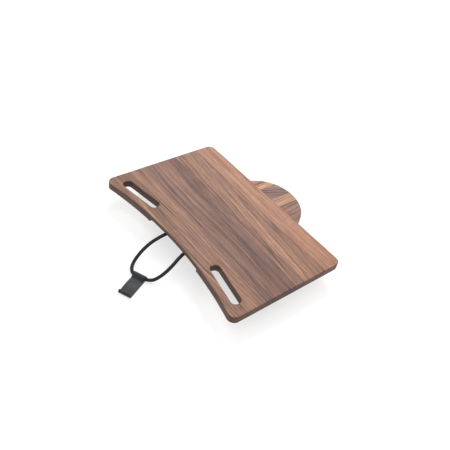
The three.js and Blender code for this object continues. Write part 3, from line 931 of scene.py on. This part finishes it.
# ---- foam jaw pads -------------------------------------------------------------------------------
PAD_CORNER = 0.008
PAD_COLUMNS = 84
PAD_ROWS = 20
PAD_ROLL = 0.0035                          # width of the rounded rim
PAD_RIM = 0.35                             # depth of the pad at its rim, as a share of the whole
GROOVE_PLACE = 0.006                       # above and below the middle
GROOVE_WIDTH = 0.0011
GROOVE_DEPTH = 0.16


def pad_depth(size, x, z, reach):
    """Half the foam's depth at a place on its face; reach is half its width at that height."""
    corner_cut = PAD_CORNER * (1 - reach / (size.x / 2))
    rim = min(size.x / 2 - abs(x) + corner_cut, size.z / 2 - abs(z))
    crown = math.sqrt(max(0.0, 1 - (1 - min(1.0, rim / PAD_ROLL)) ** 2))
    groove = GROOVE_DEPTH * math.exp(-((abs(z) - GROOVE_PLACE) / GROOVE_WIDTH) ** 2)
    return size.y / 2 * (PAD_RIM + (1 - PAD_RIM) * crown - groove * crown)


def pad_face(bm, size, facing):
    """One face as rows of vertices, closer together towards both ends."""
    grid = []
    for j in range(PAD_ROWS + 1):
        z = (-1 + 2 * j / PAD_ROWS) * size.z / 2
        pull = max(0.0, abs(z) - size.z / 2 + PAD_CORNER)
        reach = size.x / 2 - PAD_CORNER + math.sqrt(max(0.0, PAD_CORNER ** 2 - pull ** 2))
        row = []
        for i in range(PAD_COLUMNS + 1):
            x = math.sin(math.pi / 2 * (-1 + 2 * i / PAD_COLUMNS)) * reach
            row.append(bm.verts.new((x, facing * pad_depth(size, x, z, reach), z)))
        grid.append(row)
    for low, high in zip(grid, grid[1:]):
        for i in range(PAD_COLUMNS):
            bm.faces.new((low[i], low[i + 1], high[i + 1], high[i]))
    return grid


def border(grid):
    """The vertices round a grid, in order."""
    right = [row[-1] for row in grid[1:-1]]
    left = [row[0] for row in grid[-2:0:-1]]
    return grid[0] + right + grid[-1][::-1] + left


def pad_mesh(node):
    """A foam strip with a crowned face and two pressed grooves along it."""
    bm = bmesh.new()
    near, far = (border(pad_face(bm, span_of(node), facing)) for facing in (-1, 1))
    for k in range(len(near)):
        bm.faces.new((near[k - 1], near[k], far[k], far[k - 1]))
    bmesh.ops.transform(bm, matrix=Matrix.Translation(middle_of(node)), verts=bm.verts)
    return from_bmesh(bm)


# ---- hinge lugs, pins and nuts -------------------------------------------------------------------
LUG_THICK = 0.005
LUG_BOTTOM = -0.015                        # from the middle of the hinge pin
HEEL_NEAR = 0.0028
HEEL_FAR = 0.007
HEEL_TOP = -0.010
PIN_HEAD = 0.0052
PIN_HEAD_HEIGHT = 0.0037
PIN_SHANK = 0.003
PIN_THREAD_LENGTH = 0.012
PIN_THREAD_PITCH = 0.0010
PIN_THREAD_DEPTH = 0.0004
NUT_RADIUS = 0.0056                        # to the corners


def lug_mesh(node, hinge, inward):
    """A pressed ear that carries the pin, with a heel that stops the jaw from opening outward."""
    low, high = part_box(node)
    side = 1 if low[0] > 0 else -1
    outer = high[0] if side > 0 else -low[0]
    top = PLATE_LOW.z - GAP - hinge.z
    outline = [(-0.011, top), (-0.009, LUG_BOTTOM), (-HEEL_NEAR, LUG_BOTTOM), (-HEEL_NEAR, -0.008)]
    outline += arc((0, -0.001), 0.0075, -90, 0, 10) + [(0.011, top)]
    stand = Matrix((
        (0, 0, 1, side * (outer - LUG_THICK / 2)),
        (inward, 0, 0, hinge.y),
        (0, 1, 0, hinge.z),
        (0, 0, 0, 1),
    ))
    ear = plate([outline, circle((0, 0), PIN_HOLE, 24)], LUG_THICK, 0.0005, stand, edge_steps=2)
    heel_x = sorted((side * (outer - span_of(node).x), side * (outer - LUG_THICK + 0.002)))
    heel_y = sorted((hinge.y - inward * HEEL_NEAR, hinge.y - inward * HEEL_FAR))
    heel_low = (heel_x[0], heel_y[0], hinge.z + LUG_BOTTOM)
    heel_high = (heel_x[1], heel_y[1], hinge.z + HEEL_TOP)
    return combine(ear, [box_mesh(heel_low, heel_high)], "UNION")


def along_pin(node):
    """A matrix that lays a lathe() profile along X from the left end of a CAD node."""
    middle = middle_of(node)
    return Matrix.Translation((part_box(node)[0][0], middle.y, middle.z)) @ ALONG_X


def pin_mesh(node):
    """A clevis pin along X: domed head at the left, threaded end at the right."""
    length = span_of(node).x
    reached = length - PIN_THREAD_LENGTH
    profile = [(0, 0), (PIN_HEAD * 0.6, 0.0002), (PIN_HEAD * 0.9, 0.0010), (PIN_HEAD, 0.0022)]
    profile += [(PIN_HEAD, PIN_HEAD_HEIGHT), (PIN_SHANK, PIN_HEAD_HEIGHT), (PIN_SHANK, reached)]
    while reached + PIN_THREAD_PITCH < length - 0.001:
        profile.append((PIN_SHANK - PIN_THREAD_DEPTH, reached + PIN_THREAD_PITCH / 2))
        profile.append((PIN_SHANK, reached + PIN_THREAD_PITCH))
        reached += PIN_THREAD_PITCH
    profile += [(PIN_SHANK - 0.0006, length), (0, length)]
    return lathe(profile, 40, along_pin(node))


def nut_mesh(node):
    """A hexagon nut with chamfered corners."""
    length = span_of(node).x
    place = along_pin(node)
    hexagon = lathe(rod(NUT_RADIUS, 0, length), 6, place)
    face, corner = NUT_RADIUS * 0.88, NUT_RADIUS * 1.02
    profile = [(0, -0.001), (face, -0.001), (corner, 0.0008), (corner, length - 0.0008)]
    profile += [(face, length + 0.001), (0, length + 0.001)]
    chamfered = combine(hexagon, [lathe(profile, 48, place)], "INTERSECT")
    bore = lathe(rod(PIN_HOLE, -OVERSHOOT, length + OVERSHOOT), 24, place)
    return combine(chamfered, [bore])


for end, inward in (("front", 1), ("rear", -1)):
    jaw, trim, pad = f"{end}_jaw", f"{end}_jaw_trim", f"{end}_jaw_pad"
    pin, nut = f"{end}_hinge_pin", f"{end}_hinge_nut"
    hinge = middle_of(pin)
    add_part(jaw, jaw_mesh(jaw, hinge), BLACK_STEEL, jaw)
    add_part(trim, trim_mesh(trim, hinge), RUBBER, jaw)
    foam = add_part(pad, pad_mesh(pad), FOAM, jaw, smooth=0)
    add_part(pin, pin_mesh(pin), ZINC)
    add_part(nut, nut_mesh(nut), ZINC, bevel=0.0003)
    for side in ("left", "right"):
        lug = f"{end}_lug_{side}"
        add_part(lug, lug_mesh(lug, hinge, inward), BLACK_STEEL)
        add_ring(f"{end}_friction_washer_{side}", PIN_HOLE, 0.0003, NYLON, axis="x")


# ---- cord anchors and ferrules -------------------------------------------------------------------
ANCHOR_CORNER = 0.002
ANCHOR_EDGE = 0.001
ANCHOR_SOCKET = 0.0026
ANCHOR_SOCKET_DEPTH = 0.0025
FERRULE_MOUTH = 0.0044
CRIMPS = 3
CRIMP_SPACING = 0.0034
CRIMP_DEPTH = 0.0007


def anchor_mesh(node):
    """A block with rounded edges and the hexagon socket of its screw underneath."""
    size = span_of(node)
    outline = rounded_rect(size.x, size.y, ANCHOR_CORNER)
    block = plate([outline], size.z, ANCHOR_EDGE, Matrix.Translation(middle_of(node)), edge_steps=3)
    well = lathe(rod(ANCHOR_SOCKET, -0.0005, ANCHOR_SOCKET_DEPTH), 6, on_base(node))
    return combine(block, [well])


def ferrule_mesh(node):
    """A crimped sleeve along Y with a flared mouth and pressed rings."""
    size = span_of(node)
    radius, length = size.x / 2, size.y
    waist = radius - CRIMP_DEPTH
    mouth, lip = (FERRULE_MOUTH, 0.0008), (FERRULE_MOUTH + 0.0003, 0)
    profile = [(0, 0.0008), mouth, lip, (radius - 0.0004, 0), (radius, 0.0006)]
    for i in range(CRIMPS):
        place = 0.0032 + i * CRIMP_SPACING
        profile += [(radius, place - 0.0009), (waist, place - 0.0003)]
        profile += [(waist, place + 0.0003), (radius, place + 0.0009)]
    profile += [(radius, length - 0.0006), (radius - 0.0006, length), (0, length)]
    middle = middle_of(node)
    start = Matrix.Translation((middle.x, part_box(node)[0][1], middle.z))
    return lathe(profile, 48, start @ ALONG_Y)


for side in ("left", "right"):
    anchor = f"cord_anchor_{side}"
    ferrule = f"cord_ferrule_{side}"
    add_part(anchor, anchor_mesh(anchor), BLACK_STEEL, smooth=30)
    add_part(ferrule, ferrule_mesh(ferrule), ZINC)


# ---- floor, light and background -----------------------------------------------------------------
FLOOR_RADIUS = 14
FLOOR_GREY = 0.41
FLOOR_GLOW = 0.61                          # whitens the floor without light that thins dark edges
WORLD_STRENGTH = 0.97
LIGHTS_AIM = Vector((0, 0, 0.05))


def add_floor():
    bm = bmesh.new()
    bmesh.ops.create_circle(bm, cap_ends=True, radius=FLOOR_RADIUS, segments=96)
    finish = Finish(
        "studio floor", Base_Color=rgb(FLOOR_GREY, FLOOR_GREY, FLOOR_GREY), Roughness=0.9,
        Specular_IOR_Level=0.1, Emission_Color=WHITE, Emission_Strength=FLOOR_GLOW,
    )
    floor = bpy.data.objects.new("studio_floor", from_bmesh(bm))
    floor.data.materials.append(finish.material)
    bpy.context.scene.collection.objects.link(floor)


def add_area_light(name, place, size, watts):
    data = bpy.data.lights.new(name, "AREA")
    data.shape = "DISK"
    data.size = size
    data.energy = watts
    light = bpy.data.objects.new(name, data)
    light.location = place
    aim = LIGHTS_AIM - Vector(place)
    light.rotation_euler = aim.to_track_quat("-Z", "Y").to_euler()
    bpy.context.scene.collection.objects.link(light)


def add_world():
    world = bpy.data.worlds.new("studio")
    world.use_nodes = True
    background = world.node_tree.nodes["Background"]
    background.inputs["Color"].default_value = WHITE
    background.inputs["Strength"].default_value = WORLD_STRENGTH
    bpy.context.scene.world = world


add_floor()
add_area_light("key", (-1.0, 1.1, 2.4), size=1.4, watts=32)
add_area_light("top", (0.3, 0.0, 3.0), size=2.4, watts=14)
add_world()
bpy.context.scene.view_settings.view_transform = "Standard"
